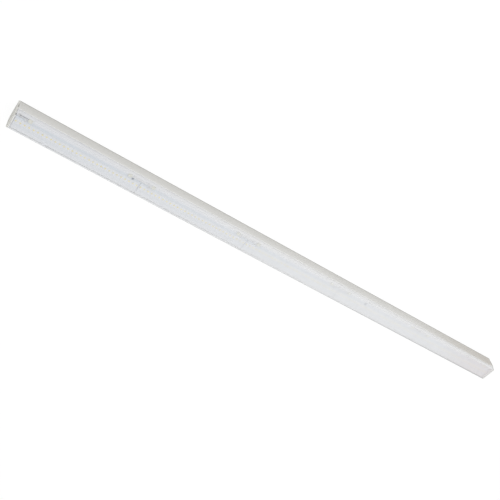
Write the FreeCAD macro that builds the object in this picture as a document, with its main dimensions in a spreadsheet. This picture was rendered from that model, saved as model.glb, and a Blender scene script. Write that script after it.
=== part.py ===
import FreeCAD, Part
import Sketcher
import math
import os

# A slim LED linear light, lying on its back with the light-giving front up.
# X runs along the light from its lead end, Z points out of the front, and
# the origin is the middle of the back face.

board_count = 5
leds_per_board = 30
small_sides = 8

sizes = [
    ("light_length", 1200, "over both end caps"),
    ("housing_width", 40, "outside"),
    ("housing_height", 26.5, "back face to lip"),
    ("cover_rise", 10, "lip to front face"),
    ("housing_wall", 1.4, "side walls"),
    ("housing_back", 1.6, "back wall"),
    ("housing_edge", 1.0, "rounding of the back edges"),
    ("lip_edge", 0.4, "rounding of the lip"),
    ("port_block", 4.8, "side of each square screw port"),
    ("port_radius", 1.3, "screw port bore"),
    ("port_mouth", 1.0, "opening along each screw port"),
    ("rail_thickness", 1.2, "all four rails"),
    ("rail_depth", 2.2, "reach of the rails"),
    ("groove_play", 0.3, "over the tray's feet"),
    ("nib_drop", 2.2, "lip to the nibs that hold the cover"),
    ("nib_height", 0.8, "nibs"),
    ("nib_depth", 0.6, "reach of the nibs"),
    ("slot_spacing", 900, "between the two fixing slots"),
    ("slot_radius", 2.25, "half the width of a fixing slot"),
    ("slot_length", 12, "fixing slot, end to end"),
    ("entry_gap", 62, "terminal block to cable entry"),
    ("entry_radius", 6, "hole for the grommet"),
    ("grommet_bore", 4.5, "radius"),
    ("grommet_flange", 8, "radius"),
    ("grommet_rim", 1.2, "flange thickness"),
    ("grommet_sink", 0.2, "back face to the grommet"),
    ("grommet_play", 0.05, "around the grommet"),
    ("tray_sheet", 1.0, "sheet thickness"),
    ("rail_clear", 0.4, "rails to the raised part of the tray"),
    ("tray_play", 0.4, "beside the tray's feet"),
    ("tray_end_gap", 2.0, "tray to end cap"),
    ("tray_bend", 1.2, "outer bend radius"),
    ("window_length", 8, "windows in the tray's sides"),
    ("window_height", 2.4, "windows in the tray's sides"),
    ("window_drop", 2.9, "tray top to windows"),
    ("collar_height", 3, "drawn screw collars"),
    ("collar_radius", 2.4, "outside of the collars"),
    ("collar_bore", 1.25, "radius"),
    ("hook_length", 6, "board hooks, along the light"),
    ("hook_sheet", 0.55, "board hooks"),
    ("hook_reach", 1.0, "board hooks, over the board"),
    ("hook_inset", 60, "board end to hook"),
    ("hook_play", 0.1, "hook to board"),
    ("cover_wall", 1.5, "front and slanted sides"),
    ("cover_ledge", 0.9, "lip left bare beside the cover"),
    ("cover_lean", 1.5, "slant of each side"),
    ("cover_flange", 1.2, "thickness over the lip"),
    ("cover_edge", 1.2, "rounding of the front edges"),
    ("cover_end_gap", 0.5, "cover to end cap"),
    ("leg_play", 0.2, "cover legs to housing"),
    ("leg_thickness", 1.2, "cover legs"),
    ("barb_height", 0.9, "barbs of the cover legs"),
    ("cap_thickness", 3, "end cap plate"),
    ("cap_edge", 0.8, "bevel of the outer face"),
    ("tongue_depth", 6, "side tongues into the housing"),
    ("tongue_thickness", 1.6, "side tongues"),
    ("tongue_play", 0.25, "tongues to walls"),
    ("brow_depth", 1.0, "front tongue under the cover"),
    ("brow_thickness", 1.2, "front tongue"),
    ("cap_screw_head", 2.7, "radius of the countersunk head"),
    ("cap_screw_radius", 1.25, "shank"),
    ("cap_screw_length", 12, "from the outer face"),
    ("head_play", 0.05, "countersunk head to its seat"),
    ("screw_play", 0.35, "around a screw in a clear hole"),
    ("board_thickness", 1.6, "circuit boards"),
    ("board_ledge", 0.8, "tray edge to board edge"),
    ("board_room", 2.6, "boards to cover"),
    ("board_gap", 1.6, "between two boards"),
    ("board_margin", 1.0, "tray end to board end"),
    ("notch_length", 12.5, "corner notches of a board"),
    ("notch_clear", 0.3, "bushing flange to notch"),
    ("led_length", 3.5, "LED package"),
    ("led_width", 2.8, "LED package"),
    ("led_height", 0.7, "LED package"),
    ("connector_inset", 20, "board end to connector"),
    ("connector_length", 7, "along the board"),
    ("connector_width", 5.9, "across the board"),
    ("connector_height", 2.1, "above the board"),
    ("connector_edge", 0.2, "board edge to connector"),
    ("socket_depth", 2.5, "wire holes in a connector"),
    ("socket_play", 0.05, "around a wire in its hole"),
    ("wire_radius", 0.6, "over the insulation"),
    ("wire_gap", 0.8, "between the two wires"),
    ("wire_lift", 1.0, "board to wire centre"),
    ("wire_edge", 1.6, "board edge to the outer wire"),
    ("wire_bend", 3, "bend radius of every wire"),
    ("rise_inset", 5.4, "tray end to the rising leads"),
    ("lead_drop", 4.3, "collars down to the leads"),
    ("lead_inset", 2.5, "driver side to the outer lead"),
    ("lead_jog", 20, "stretch in which the leads move out"),
    ("bushing_length", 4, "slot for the leads"),
    ("bushing_clear", 0.1, "leads to bushing"),
    ("bushing_wall", 0.5, "bushing"),
    ("bushing_rim", 0.5, "bushing flange, height and reach"),
    ("bushing_play", 0.1, "bushing to slot"),
    ("board_screw_inset", 16, "board end to screw"),
    ("board_screw_edge", 6.7, "board edge to screw"),
    ("board_screw_head", 2.2, "radius"),
    ("board_screw_crown", 1.5, "head height"),
    ("board_screw_radius", 1.15, "shank"),
    ("board_screw_length", 4, "under the head"),
    ("pilot_radius", 1.2, "tray holes for the board screws"),
    ("driver_inset", 175, "tray end to the driver flange"),
    ("driver_length", 200, "case"),
    ("driver_side", 2.5, "tray side to driver"),
    ("driver_clear", 6.7, "back wall to driver"),
    ("driver_flange", 10, "fixing flange at each end"),
    ("driver_edge", 1.0, "rounding of the case"),
    ("flange_thickness", 1.5, "driver flanges and terminal ears"),
    ("gear_screw_head", 2.6, "radius"),
    ("gear_screw_crown", 1.8, "head height"),
    ("gear_screw_radius", 1.2, "shank"),
    ("gear_screw_length", 4.5, "under the head"),
    ("terminal_gap", 42, "driver flange to terminal block"),
    ("terminal_length", 16, "along the light"),
    ("terminal_width", 17, "across the light"),
    ("terminal_height", 13, "block"),
    ("ear_length", 8, "fixing ears, along the light"),
    ("ear_width", 7, "fixing ears, across the light"),
    ("pole_pitch", 5.4, "between two terminals"),
    ("pole_drop", 6.5, "block top to wire holes"),
    ("pole_radius", 1.6, "wire holes"),
    ("pole_depth", 6.5, "wire holes"),
    ("clamp_inset", 4, "block end to clamp screw"),
    ("clamp_radius", 1.4, "clamp screws"),
    ("clamp_play", 0.1, "around a clamp screw"),
    ("clamp_sink", 0.5, "block face to clamp screw"),
    ("mains_radius", 0.9, "mains wires, over the insulation"),
    ("earth_gap", 26, "terminal block to earth screw"),
    ("earth_slope", 5, "terminal block to the rise of the earth wire"),
    ("lug_radius", 3.2, "ring of the earth lug"),
    ("lug_thickness", 0.8, "ring of the earth lug"),
    ("lug_overlap", 0.4, "barrel into the ring's edge"),
    ("barrel_radius", 1.5, "barrel of the earth lug"),
    ("barrel_length", 5.5, "barrel of the earth lug"),
    ("barrel_depth", 4, "wire in the barrel"),
]

doc = FreeCAD.newDocument("led_linear_light")
dims = doc.addObject("Spreadsheet::Sheet", "dims")
for row, (alias, value, note) in enumerate(sizes, start=1):
    dims.set("A%d" % row, note)
    dims.set("B%d" % row, str(value))
    dims.setAlias("B%d" % row, alias)
doc.recompute()


class Size:
    # A number of millimetres, kept with the sheet formula that gives it.
    def __init__(self, formula, value):
        self.formula = formula
        self.value = value

    def __add__(self, other):
        other = as_size(other)
        return Size("(%s + %s)" % (self.formula, other.formula), self.value + other.value)

    def __sub__(self, other):
        other = as_size(other)
        return Size("(%s - %s)" % (self.formula, other.formula), self.value - other.value)

    def __mul__(self, other):
        other = as_size(other)
        return Size("(%s * %s)" % (self.formula, other.formula), self.value * other.value)

    def __truediv__(self, other):
        other = as_size(other)
        return Size("(%s / %s)" % (self.formula, other.formula), self.value / other.value)

    def __neg__(self):
        return Size("(0 - %s)" % self.formula, -self.value)


def as_size(number):
    if isinstance(number, Size):
        return number
    return Size("(%r)" % float(number), float(number))


def size(alias):
    return Size("dims.%s" % alias, float(getattr(dims, alias)))


zero = as_size(0)


# Sketches and features

def point(x, y, z=zero):
    return FreeCAD.Vector(x.value, y.value, z.value)


def new_body(label):
    body = doc.addObject("PartDesign::Body", label)
    return keep(body, label)


def sketch_on(body, name, role, level=zero):
    plane = [feature for feature in body.Origin.OriginFeatures if feature.Role == role][0]
    sketch = body.newObject("Sketcher::SketchObject", name)
    sketch.AttachmentSupport = [(plane, "")]
    sketch.MapMode = "FlatFace"
    sketch.setExpression("AttachmentOffset.Base.z", level.formula)
    return sketch


def bind(sketch, rules):
    # Adds constraints, given as (constraint, the size that it follows).
    first = sketch.ConstraintCount
    sketch.addConstraint([rule for rule, length in rules])
    for index, (rule, length) in enumerate(rules, start=first):
        sketch.setExpression("Constraints[%d]" % index, length.formula)


def placed(geometry, end, across, up):
    return [
        (Sketcher.Constraint("DistanceX", -1, 1, geometry, end, across.value), across),
        (Sketcher.Constraint("DistanceY", -1, 1, geometry, end, up.value), up),
    ]


def add_outline(sketch, corners):
    # A closed outline of straight edges through corners given as (across, up).
    first = sketch.GeometryCount
    following = corners[1:] + corners[:1]
    for start, end in zip(corners, following):
        sketch.addGeometry(Part.LineSegment(point(*start), point(*end)))
    count = len(corners)
    sketch.addConstraint([
        Sketcher.Constraint("Coincident", first + i, 2, first + (i + 1) % count, 1) for i in range(count)
    ])
    rules = []
    for i, (across, up) in enumerate(corners):
        rules += placed(first + i, 1, across, up)
    bind(sketch, rules)


def add_rectangle(sketch, left, right, low, high):
    add_outline(sketch, [(left, low), (right, low), (right, high), (left, high)])


def add_circle(sketch, across, up, radius):
    circle = Part.Circle(point(across, up), FreeCAD.Vector(0, 0, 1), radius.value)
    index = sketch.addGeometry(circle)
    rules = placed(index, 3, across, up)
    rules.append((Sketcher.Constraint("Radius", index, radius.value), radius))
    bind(sketch, rules)


def add_small_round(sketch, across, up, radius):
    # A small repeated hole or boss, with few sides.
    turns = [2 * math.pi * i / small_sides for i in range(small_sides)]
    add_outline(sketch, [
        (across + radius * round(math.cos(turn), 6), up + radius * round(math.sin(turn), 6)) for turn in turns
    ])


def add_slot(sketch, across, up, length, radius):
    # A slot along the sketch's first axis, with round ends.
    reach = length / 2 - radius
    left = point(across - reach, up)
    right = point(across + reach, up)
    lift = point(zero, radius)
    out = point(radius, zero)
    left_arc = sketch.addGeometry(Part.Arc(left + lift, left - out, left - lift))
    right_arc = sketch.addGeometry(Part.Arc(right - lift, right + out, right + lift))
    low = sketch.addGeometry(Part.LineSegment(left - lift, right - lift))
    high = sketch.addGeometry(Part.LineSegment(right + lift, left + lift))
    for line, before, after in [(low, left_arc, right_arc), (high, right_arc, left_arc)]:
        sketch.addConstraint(Sketcher.Constraint("Tangent", before, 2, line, 1))
        sketch.addConstraint(Sketcher.Constraint("Tangent", line, 2, after, 1))
    rules = placed(left_arc, 3, across - reach, up) + placed(right_arc, 3, across + reach, up)
    rules.append((Sketcher.Constraint("Radius", left_arc, radius.value), radius))
    bind(sketch, rules)


def mirrored(corners):
    # Closes a half outline with its mirror image.
    return corners + [(-across, up) for across, up in reversed(corners)]


def pad(body, sketch, length, way="One side", reverse=False):
    feature = body.newObject("PartDesign::Pad", sketch.Name + "_pad")
    feature.Profile = sketch
    feature.SideType = way
    feature.Reversed = reverse
    feature.setExpression("Length", length.formula)
    doc.recompute()
    return feature


def cut_through(body, sketch):
    # Cuts right through the body, both ways from the sketch.
    feature = body.newObject("PartDesign::Pocket", sketch.Name + "_cut")
    feature.Profile = sketch
    feature.SideType = "Symmetric"
    feature.Type = "ThroughAll"
    doc.recompute()
    if feature.Shape.Volume >= feature.BaseFeature.Shape.Volume:
        raise RuntimeError("%s cuts nothing" % feature.Name)
    return feature


def round_edges(body, base, radius, wanted, kind="Fillet"):
    edges = ["Edge%d" % number for number, edge in enumerate(base.Shape.Edges, start=1) if wanted(edge)]
    feature = body.newObject("PartDesign::%s" % kind, base.Name + "_edge")
    feature.Base = (base, edges)
    feature.setExpression("Radius" if kind == "Fillet" else "Size", radius.formula)
    doc.recompute()
    return feature


def same(first, second):
    return abs(first - second) < 0.001


def lengthwise_at(places):
    # Picks the edges along X that pass through the given (across, up) places.
    def wanted(edge):
        box = edge.BoundBox
        if box.YLength > 0.001 or box.ZLength > 0.001:
            return False
        return any(same(box.YMin, across.value) and same(box.ZMin, up.value) for across, up in places)
    return wanted


def both_sides(across, up):
    return [(across, up), (-across, up)]


# Plain solids

along_x = FreeCAD.Rotation(FreeCAD.Vector(0, 1, 0), 90)
along_z = FreeCAD.Rotation()


def set_place(solid, turn, x, y, z):
    solid.Placement = FreeCAD.Placement(FreeCAD.Vector(), turn)
    for axis, place in zip("xyz", (x, y, z)):
        solid.setExpression("Placement.Base.%s" % axis, place.formula)


def block(name, x_range, y_range, z_range):
    box = doc.addObject("Part::Box", name)
    for side, (low, high) in zip(("Length", "Width", "Height"), (x_range, y_range, z_range)):
        box.setExpression(side, (high - low).formula)
    set_place(box, along_z, x_range[0], y_range[0], z_range[0])
    return box


def rod(name, radius, length, turn, x=zero, y=zero, z=zero):
    cylinder = doc.addObject("Part::Cylinder", name)
    cylinder.setExpression("Radius", radius.formula)
    cylinder.setExpression("Height", length.formula)
    set_place(cylinder, turn, x, y, z)
    return cylinder


def bar(name, radius, length, turn, x=zero, y=zero, z=zero):
    # A small repeated rod, with few sides.
    prism = doc.addObject("Part::Prism", name)
    prism.Polygon = small_sides
    prism.setExpression("Circumradius", radius.formula)
    prism.setExpression("Height", length.formula)
    set_place(prism, turn, x, y, z)
    return prism


def cone(name, first_radius, last_radius, length, turn, x=zero, y=zero, z=zero):
    shape = doc.addObject("Part::Cone", name)
    shape.setExpression("Radius1", first_radius.formula)
    shape.setExpression("Radius2", last_radius.formula)
    shape.setExpression("Height", length.formula)
    set_place(shape, turn, x, y, z)
    return shape


def fuse(name, pieces):
    feature = doc.addObject("Part::MultiFuse", name)
    feature.Shapes = pieces
    feature.Refine = True
    return feature


def cut(name, base, tools):
    feature = doc.addObject("Part::Cut", name)
    feature.Base = base
    feature.Tool = tools[0] if len(tools) == 1 else fuse(name + "_tools", tools)
    return feature


# Sub-parts that are written out

nodes = []


def keep(feature, label):
    feature.Label = label
    nodes.append(feature)
    return feature


def keep_copies(label, copies):
    # One sub-part of several separate solids, given as (unit piece, place).
    doc.recompute()
    node = doc.addObject("Part::Feature", label)
    node.Shape = Part.makeCompound([unit.Shape.translated(point(*place)) for unit, place in copies])
    node.Placement = FreeCAD.Placement()
    return keep(node, label)


def keep_wire(label, points, radius, bend):
    # A wire along straight runs, with short chords round each turn.
    stops = [points[0]]
    for before, corner, after in zip(points, points[1:], points[2:]):
        back = (before - corner).normalize()
        ahead = (after - corner).normalize()
        half_angle = back.getAngle(ahead) / 2
        centre = corner + (back + ahead).normalize() * (bend / math.sin(half_angle))
        arm = corner + back * (bend / math.tan(half_angle)) - centre
        swing = 180 - 2 * math.degrees(half_angle)
        chords = math.ceil(swing / 35)
        for step in range(chords + 1):
            turn = FreeCAD.Rotation(ahead.cross(back), swing * step / chords)
            stops.append(centre + turn.multVec(arm))
    stops.append(points[-1])
    ring = []
    for i in range(small_sides + 1):
        angle = 2 * math.pi * i / small_sides
        ring.append(points[0] + FreeCAD.Vector(0, radius * math.cos(angle), radius * math.sin(angle)))
    node = doc.addObject("Part::Feature", label)
    node.Shape = Part.makePolygon(stops).makePipeShell([Part.makePolygon(ring)], True, False, 1)
    node.Placement = FreeCAD.Placement()
    return keep(node, label)


# Levels and faces that several pieces share

light_end = size("light_length") / 2
housing_end = light_end - size("cap_thickness")
half_width = size("housing_width") / 2
inner_face = half_width - size("housing_wall")
lip = size("housing_height")
light_height = lip + size("cover_rise")
cover_under = light_height - size("cover_wall")
nib_top = lip - size("nib_drop")
nib_low = nib_top - size("nib_height")
nib_face = inner_face - size("nib_depth")
barb_top = nib_low - size("leg_play")
leg_end = barb_top - size("barb_height")
upper_rail_top = leg_end - size("leg_play")
upper_rail_low = upper_rail_top - size("rail_thickness")
rail_top = upper_rail_low - size("groove_play") - size("tray_sheet")
rail_low = rail_top - size("rail_thickness")
rail_face = inner_face - size("rail_depth")
port_top = size("housing_back") + size("port_block")
port_face = inner_face - size("port_block")
port_line = inner_face - size("port_block") / 2
port_level = port_top - size("port_block") / 2

board_top = cover_under - size("board_room")
tray_top = board_top - size("board_thickness")
tray_under = tray_top - size("tray_sheet")
tray_half = rail_face - size("rail_clear")
tray_inner = tray_half - size("tray_sheet")
tray_end = housing_end - size("tray_end_gap")
collar_end = tray_under - size("collar_height")

board_half = tray_half - size("board_ledge")
row_end = tray_end - size("board_margin")
board_length = (row_end * 2 - size("board_gap") * (board_count - 1)) / board_count
board_pitch = board_length + size("board_gap")
board_middles = [board_pitch * (i - (board_count - 1) / 2) for i in range(board_count)]
board_ends = [board_length / -2, board_length / 2]
screw_line = board_half - size("board_screw_edge")
screw_places = [board_ends[0] + size("board_screw_inset"), board_ends[1] - size("board_screw_inset")]
hook_places = [board_ends[0] + size("hook_inset"), board_ends[1] - size("hook_inset")]

wire_level = board_top + size("wire_lift")
wire_pitch = size("wire_radius") * 2 + size("wire_gap")
outer_wire = board_half - size("wire_edge")
wire_lines = [outer_wire, outer_wire - wire_pitch]
rise_place = size("rise_inset") - tray_end
rise_line = outer_wire - wire_pitch / 2
bushing_hole = wire_pitch / 2 + size("wire_radius") + size("bushing_clear")
slot_half = size("bushing_length") / 2
slot_reach = bushing_hole + size("bushing_wall") + size("bushing_play")
bushing_rim_reach = slot_reach + size("bushing_rim")

driver_near = size("driver_inset") + size("driver_flange") - tray_end
driver_far = driver_near + size("driver_length")
driver_half = tray_inner - size("driver_side")
driver_low = size("housing_back") + size("driver_clear")
flange_low = collar_end - size("flange_thickness")
terminal_near = driver_far + size("driver_flange") + size("terminal_gap")
terminal_far = terminal_near + size("terminal_length")
terminal_low = collar_end - size("terminal_height")
entry_place = terminal_far + size("entry_gap")
pole_level = collar_end - size("pole_drop")
pole_lines = [-size("pole_pitch"), zero, size("pole_pitch")]
earth_place = terminal_near - size("earth_gap")
earth_line = pole_lines[0]
lug_low = collar_end - size("lug_thickness")
flange_places = [
    (driver_near - size("driver_flange") / 2, zero),
    (driver_far + size("driver_flange") / 2, zero),
]
ear_places = [
    (terminal_near - size("ear_length") / 2, zero),
    (terminal_far + size("ear_length") / 2, zero),
]
collar_places = flange_places + ear_places + [(earth_place, earth_line)]


# Housing: extruded channel with rails for the tray, nibs for the cover and screw ports

housing = new_body("housing")
section = sketch_on(housing, "housing_section", "YZ_Plane")
add_outline(section, mirrored([
    (half_width, zero),
    (half_width, lip),
    (inner_face, lip),
    (inner_face, nib_top),
    (nib_face, nib_top),
    (nib_face, nib_low),
    (inner_face, nib_low),
    (inner_face, upper_rail_top),
    (rail_face, upper_rail_top),
    (rail_face, upper_rail_low),
    (inner_face, upper_rail_low),
    (inner_face, rail_top),
    (rail_face, rail_top),
    (rail_face, rail_low),
    (inner_face, rail_low),
    (inner_face, port_top),
    (port_face, port_top),
    (port_face, size("housing_back")),
]))
pad(housing, section, housing_end * 2, "Symmetric")
ports = sketch_on(housing, "screw_ports", "YZ_Plane")
for across in (port_line, -port_line):
    add_circle(ports, across, port_level, size("port_radius"))
cut_through(housing, ports)
mouths = sketch_on(housing, "port_mouths", "YZ_Plane")
mouth_low = port_level - size("port_mouth") / 2
mouth_high = port_level + size("port_mouth") / 2
mouth_end = port_line - size("port_block")
add_rectangle(mouths, mouth_end, port_line, mouth_low, mouth_high)
add_rectangle(mouths, -port_line, -mouth_end, mouth_low, mouth_high)
cut_through(housing, mouths)
slots = sketch_on(housing, "fixing_slots", "XY_Plane")
for across in (size("slot_spacing") / 2, size("slot_spacing") / -2):
    add_slot(slots, across, zero, size("slot_length"), size("slot_radius"))
cut_through(housing, slots)
entry = sketch_on(housing, "cable_entry", "XY_Plane")
add_circle(entry, entry_place, zero, size("entry_radius"))
drilled = cut_through(housing, entry)
back_edges = lengthwise_at(both_sides(half_width, zero))
rounded_back = round_edges(housing, drilled, size("housing_edge"), back_edges)
lip_edges = lengthwise_at(both_sides(half_width, lip))
round_edges(housing, rounded_back, size("lip_edge"), lip_edges)

# Grommet that lines the cable entry, with its flange inside

grommet_top = size("housing_back") + size("grommet_rim")
grommet_sleeve = rod("grommet_sleeve", size("entry_radius") - size("grommet_play"),
                     size("housing_back") - size("grommet_sink"), along_z,
                     entry_place, zero, size("grommet_sink"))
grommet_ring = rod("grommet_ring", size("grommet_flange"), size("grommet_rim"), along_z,
                   entry_place, zero, size("housing_back"))
grommet_hole = rod("grommet_hole", size("grommet_bore"), grommet_top, along_z, entry_place)
grommet_blank = fuse("grommet_blank", [grommet_sleeve, grommet_ring])
keep(cut("cable_grommet", grommet_blank, [grommet_hole]), "cable_grommet")

# Gear tray: folded sheet on the rails, with windows, screw collars and hooks for the boards

tray = new_body("gear_tray")
foot_top = rail_top + size("tray_sheet")
foot_end = inner_face - size("tray_play")
hat = sketch_on(tray, "tray_section", "YZ_Plane")
add_outline(hat, [
    (foot_end, rail_top),
    (foot_end, foot_top),
    (tray_half, foot_top),
    (tray_half, tray_top),
    (-tray_half, tray_top),
    (-tray_half, foot_top),
    (-foot_end, foot_top),
    (-foot_end, rail_top),
    (-tray_inner, rail_top),
    (-tray_inner, tray_under),
    (tray_inner, tray_under),
    (tray_inner, rail_top),
])
folded = pad(tray, hat, tray_end * 2, "Symmetric")
outer_bends = lengthwise_at(both_sides(tray_half, tray_top) + both_sides(tray_inner, rail_top))
bent = round_edges(tray, folded, size("tray_bend"), outer_bends)
inner_bends = lengthwise_at(both_sides(tray_inner, tray_under) + both_sides(tray_half, foot_top))
round_edges(tray, bent, size("tray_bend") - size("tray_sheet"), inner_bends)
windows = sketch_on(tray, "tray_windows", "XZ_Plane")
window_top = tray_top - size("window_drop")
for i in range(2 * board_count - 1):
    middle = board_pitch * ((i + 1 - board_count) / 2)
    half_window = size("window_length") / 2
    add_rectangle(windows, middle - half_window, middle + half_window,
                  window_top - size("window_height"), window_top)
cut_through(tray, windows)
collars = sketch_on(tray, "screw_collars", "XY_Plane", collar_end)
for across, up in collar_places:
    add_small_round(collars, across, up, size("collar_radius"))
pad(tray, collars, size("collar_height"))
pilots = sketch_on(tray, "screw_pilots", "XY_Plane")
for across, up in collar_places:
    add_small_round(pilots, across, up, size("collar_bore"))
for middle in board_middles:
    for place in screw_places:
        add_small_round(pilots, middle + place, screw_line, size("pilot_radius"))
cut_through(tray, pilots)
lead_slot = sketch_on(tray, "lead_slot", "XY_Plane")
add_rectangle(lead_slot, rise_place - slot_half, rise_place + slot_half,
              rise_line - slot_reach, rise_line + slot_reach)
cut_through(tray, lead_slot)
hook_face = board_half + size("hook_play")
hook_low = board_top + size("hook_play")
for number, middle in enumerate(board_middles, start=1):
    for side, place in zip(("near", "far"), hook_places):
        hook = sketch_on(tray, "hook_%s_%d" % (side, number), "YZ_Plane", middle + place)
        add_outline(hook, [
            (-(hook_face + size("hook_sheet")), tray_under),
            (-hook_face, tray_under),
            (-hook_face, hook_low),
            (size("hook_reach") - board_half, hook_low),
            (size("hook_reach") - board_half, hook_low + size("hook_sheet")),
            (-(hook_face + size("hook_sheet")), hook_low + size("hook_sheet")),
        ])
        pad(tray, hook, size("hook_length"), "Symmetric")

# Cover: clear extrusion with slanted sides, and legs that snap under the nibs

cover = new_body("cover")
cover_foot = half_width - size("cover_ledge")
cover_crown = cover_foot - size("cover_lean")
slope = size("cover_lean") / size("cover_rise")
flange_top = lip + size("cover_flange")
leg_outer = nib_face - size("leg_play")
leg_inner = leg_outer - size("leg_thickness")
inner_crown = cover_foot - size("cover_wall") - slope * (cover_under - lip)
shell = sketch_on(cover, "cover_section", "YZ_Plane")
add_outline(shell, mirrored([
    (cover_crown, light_height),
    (cover_foot, lip),
    (leg_outer, lip),
    (leg_outer, barb_top),
    (inner_face - size("leg_play"), barb_top),
    (leg_outer, leg_end),
    (leg_inner, leg_end),
    (leg_inner, flange_top),
    (cover_foot - size("cover_wall") - slope * size("cover_flange"), flange_top),
    (inner_crown, cover_under),
]))
drawn = pad(cover, shell, (housing_end - size("cover_end_gap")) * 2, "Symmetric")
round_edges(cover, drawn, size("cover_edge"), lengthwise_at(both_sides(cover_crown, light_height)))


# End caps: moulded plates with tongues inside and countersunk screw holes

cap_hole = size("cap_screw_radius") + size("screw_play")


def make_end_cap(label, side):
    cap = new_body(label)
    plate_face = housing_end if side > 0 else -housing_end
    outer_x = side * light_end.value
    outline = sketch_on(cap, label + "_outline", "YZ_Plane", plate_face)
    add_outline(outline, mirrored([
        (cover_crown, light_height),
        (half_width, lip),
        (half_width, zero),
    ]))
    plate = pad(cap, outline, size("cap_thickness"), reverse=side < 0)
    front_edges = lengthwise_at(both_sides(cover_crown, light_height))
    plate = round_edges(cap, plate, size("cover_edge"), front_edges)
    plate = round_edges(cap, plate, size("housing_edge"), lengthwise_at(both_sides(half_width, zero)))

    def on_outer_face(edge):
        return same(edge.BoundBox.XMin, outer_x) and same(edge.BoundBox.XMax, outer_x)

    round_edges(cap, plate, size("cap_edge"), on_outer_face, "Chamfer")
    tongues = sketch_on(cap, label + "_tongues", "YZ_Plane", plate_face)
    tongue_face = inner_face - size("tongue_play")
    tongue_low = port_top + size("tongue_play")
    tongue_high = rail_low - size("tongue_play")
    tongue_back = tongue_face - size("tongue_thickness")
    add_rectangle(tongues, tongue_back, tongue_face, tongue_low, tongue_high)
    add_rectangle(tongues, -tongue_face, -tongue_back, tongue_low, tongue_high)
    pad(cap, tongues, size("tongue_depth"), reverse=side > 0)
    brow = sketch_on(cap, label + "_brow", "YZ_Plane", plate_face)
    brow_top = cover_under - size("tongue_play")
    brow_end = inner_crown - size("tongue_play")
    add_rectangle(brow, -brow_end, brow_end, brow_top - size("brow_thickness"), brow_top)
    pad(cap, brow, size("brow_depth"), reverse=side > 0)
    holes = sketch_on(cap, label + "_holes", "YZ_Plane", plate_face)
    for across in (port_line, -port_line):
        add_circle(holes, across, port_level, cap_hole)
    drilled_cap = cut_through(cap, holes)

    def hole_mouth(edge):
        return on_outer_face(edge) and same(edge.BoundBox.YLength, 2 * cap_hole.value)

    round_edges(cap, drilled_cap, size("cap_screw_head") - cap_hole, hole_mouth, "Chamfer")


make_end_cap("end_cap_near", -1)
make_end_cap("end_cap_far", 1)

# Countersunk end cap screws, flush with the caps

head_radius = size("cap_screw_head") - size("head_play")
head_depth = head_radius - size("cap_screw_radius")
cap_shank = size("cap_screw_length") - head_depth
cap_screw_near = fuse("cap_screw_near", [
    cone("near_head", head_radius, size("cap_screw_radius"), head_depth, along_x),
    rod("near_shank", size("cap_screw_radius"), cap_shank, along_x, head_depth),
])
cap_screw_far = fuse("cap_screw_far", [
    cone("far_head", size("cap_screw_radius"), head_radius, head_depth, along_x, -head_depth),
    rod("far_shank", size("cap_screw_radius"), cap_shank, along_x, -size("cap_screw_length")),
])
keep_copies("end_cap_screws", [
    (unit, (end, across, port_level))
    for unit, end in ((cap_screw_near, -light_end), (cap_screw_far, light_end))
    for across in (port_line, -port_line)
])


# Circuit boards with corner notches, held by two screws and two hooks each

def make_board(label, middle):
    board = new_body(label)
    near, far = board_ends
    notch_line = rise_line - bushing_rim_reach - size("notch_clear")
    outline = sketch_on(board, label + "_outline", "XY_Plane", tray_top)
    add_outline(outline, [
        (near, -board_half),
        (far, -board_half),
        (far, notch_line),
        (far - size("notch_length"), notch_line),
        (far - size("notch_length"), board_half),
        (near + size("notch_length"), board_half),
        (near + size("notch_length"), notch_line),
        (near, notch_line),
    ])
    pad(board, outline, size("board_thickness"))
    holes = sketch_on(board, label + "_holes", "XY_Plane")
    for place in screw_places:
        add_small_round(holes, place, screw_line, size("board_screw_radius") + size("screw_play"))
    cut_through(board, holes)
    board.setExpression("Placement.Base.x", middle.formula)


for number, middle in enumerate(board_middles, start=1):
    make_board("led_board_%d" % number, middle)

# LED packages, evenly spaced right along the row

led_pitch = board_pitch / leds_per_board
led_x = size("led_length") / 2
led_y = size("led_width") / 2
led_package = block("led_package", (-led_x, led_x), (-led_y, led_y), (zero, size("led_height")))
for number, middle in enumerate(board_middles, start=1):
    places = [middle + led_pitch * (i - (leds_per_board - 1) / 2) for i in range(leds_per_board)]
    keep_copies("leds_%d" % number, [(led_package, (place, zero, board_top)) for place in places])

# Push-in connectors, one at each end of a board, with two wire holes each

connector_line = board_half - size("connector_edge") - size("connector_width") / 2


def make_connector(name, socket_start):
    half = size("connector_width") / 2
    body = block(name + "_body", (zero, size("connector_length")), (-half, half),
                 (zero, size("connector_height")))
    sockets = [bar("%s_socket_%d" % (name, number), size("wire_radius") + size("socket_play"),
                   size("socket_depth"), along_x, socket_start, line - connector_line, size("wire_lift"))
               for number, line in enumerate(wire_lines, start=1)]
    return cut(name, body, sockets)


near_connector = make_connector("near_connector", zero)
far_connector = make_connector("far_connector", size("connector_length") - size("socket_depth"))
far_start = board_ends[1] - size("connector_inset") - size("connector_length")
near_start = board_ends[0] + size("connector_inset")
for number, middle in enumerate(board_middles, start=1):
    keep_copies("board_connectors_%d" % number, [
        (near_connector, (middle + near_start, connector_line, board_top)),
        (far_connector, (middle + far_start, connector_line, board_top)),
    ])

# Jumper wires from board to board

jumper_half = size("connector_inset") + size("socket_depth") + size("board_gap") / 2
jumper = bar("jumper", size("wire_radius"), jumper_half * 2, along_x)
for number in range(1, board_count):
    joint = (board_middles[number - 1] + board_middles[number]) / 2
    keep_copies("jumper_wires_%d" % number,
                [(jumper, (joint - jumper_half, line, wire_level)) for line in wire_lines])

# Screws that hold the boards down

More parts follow.
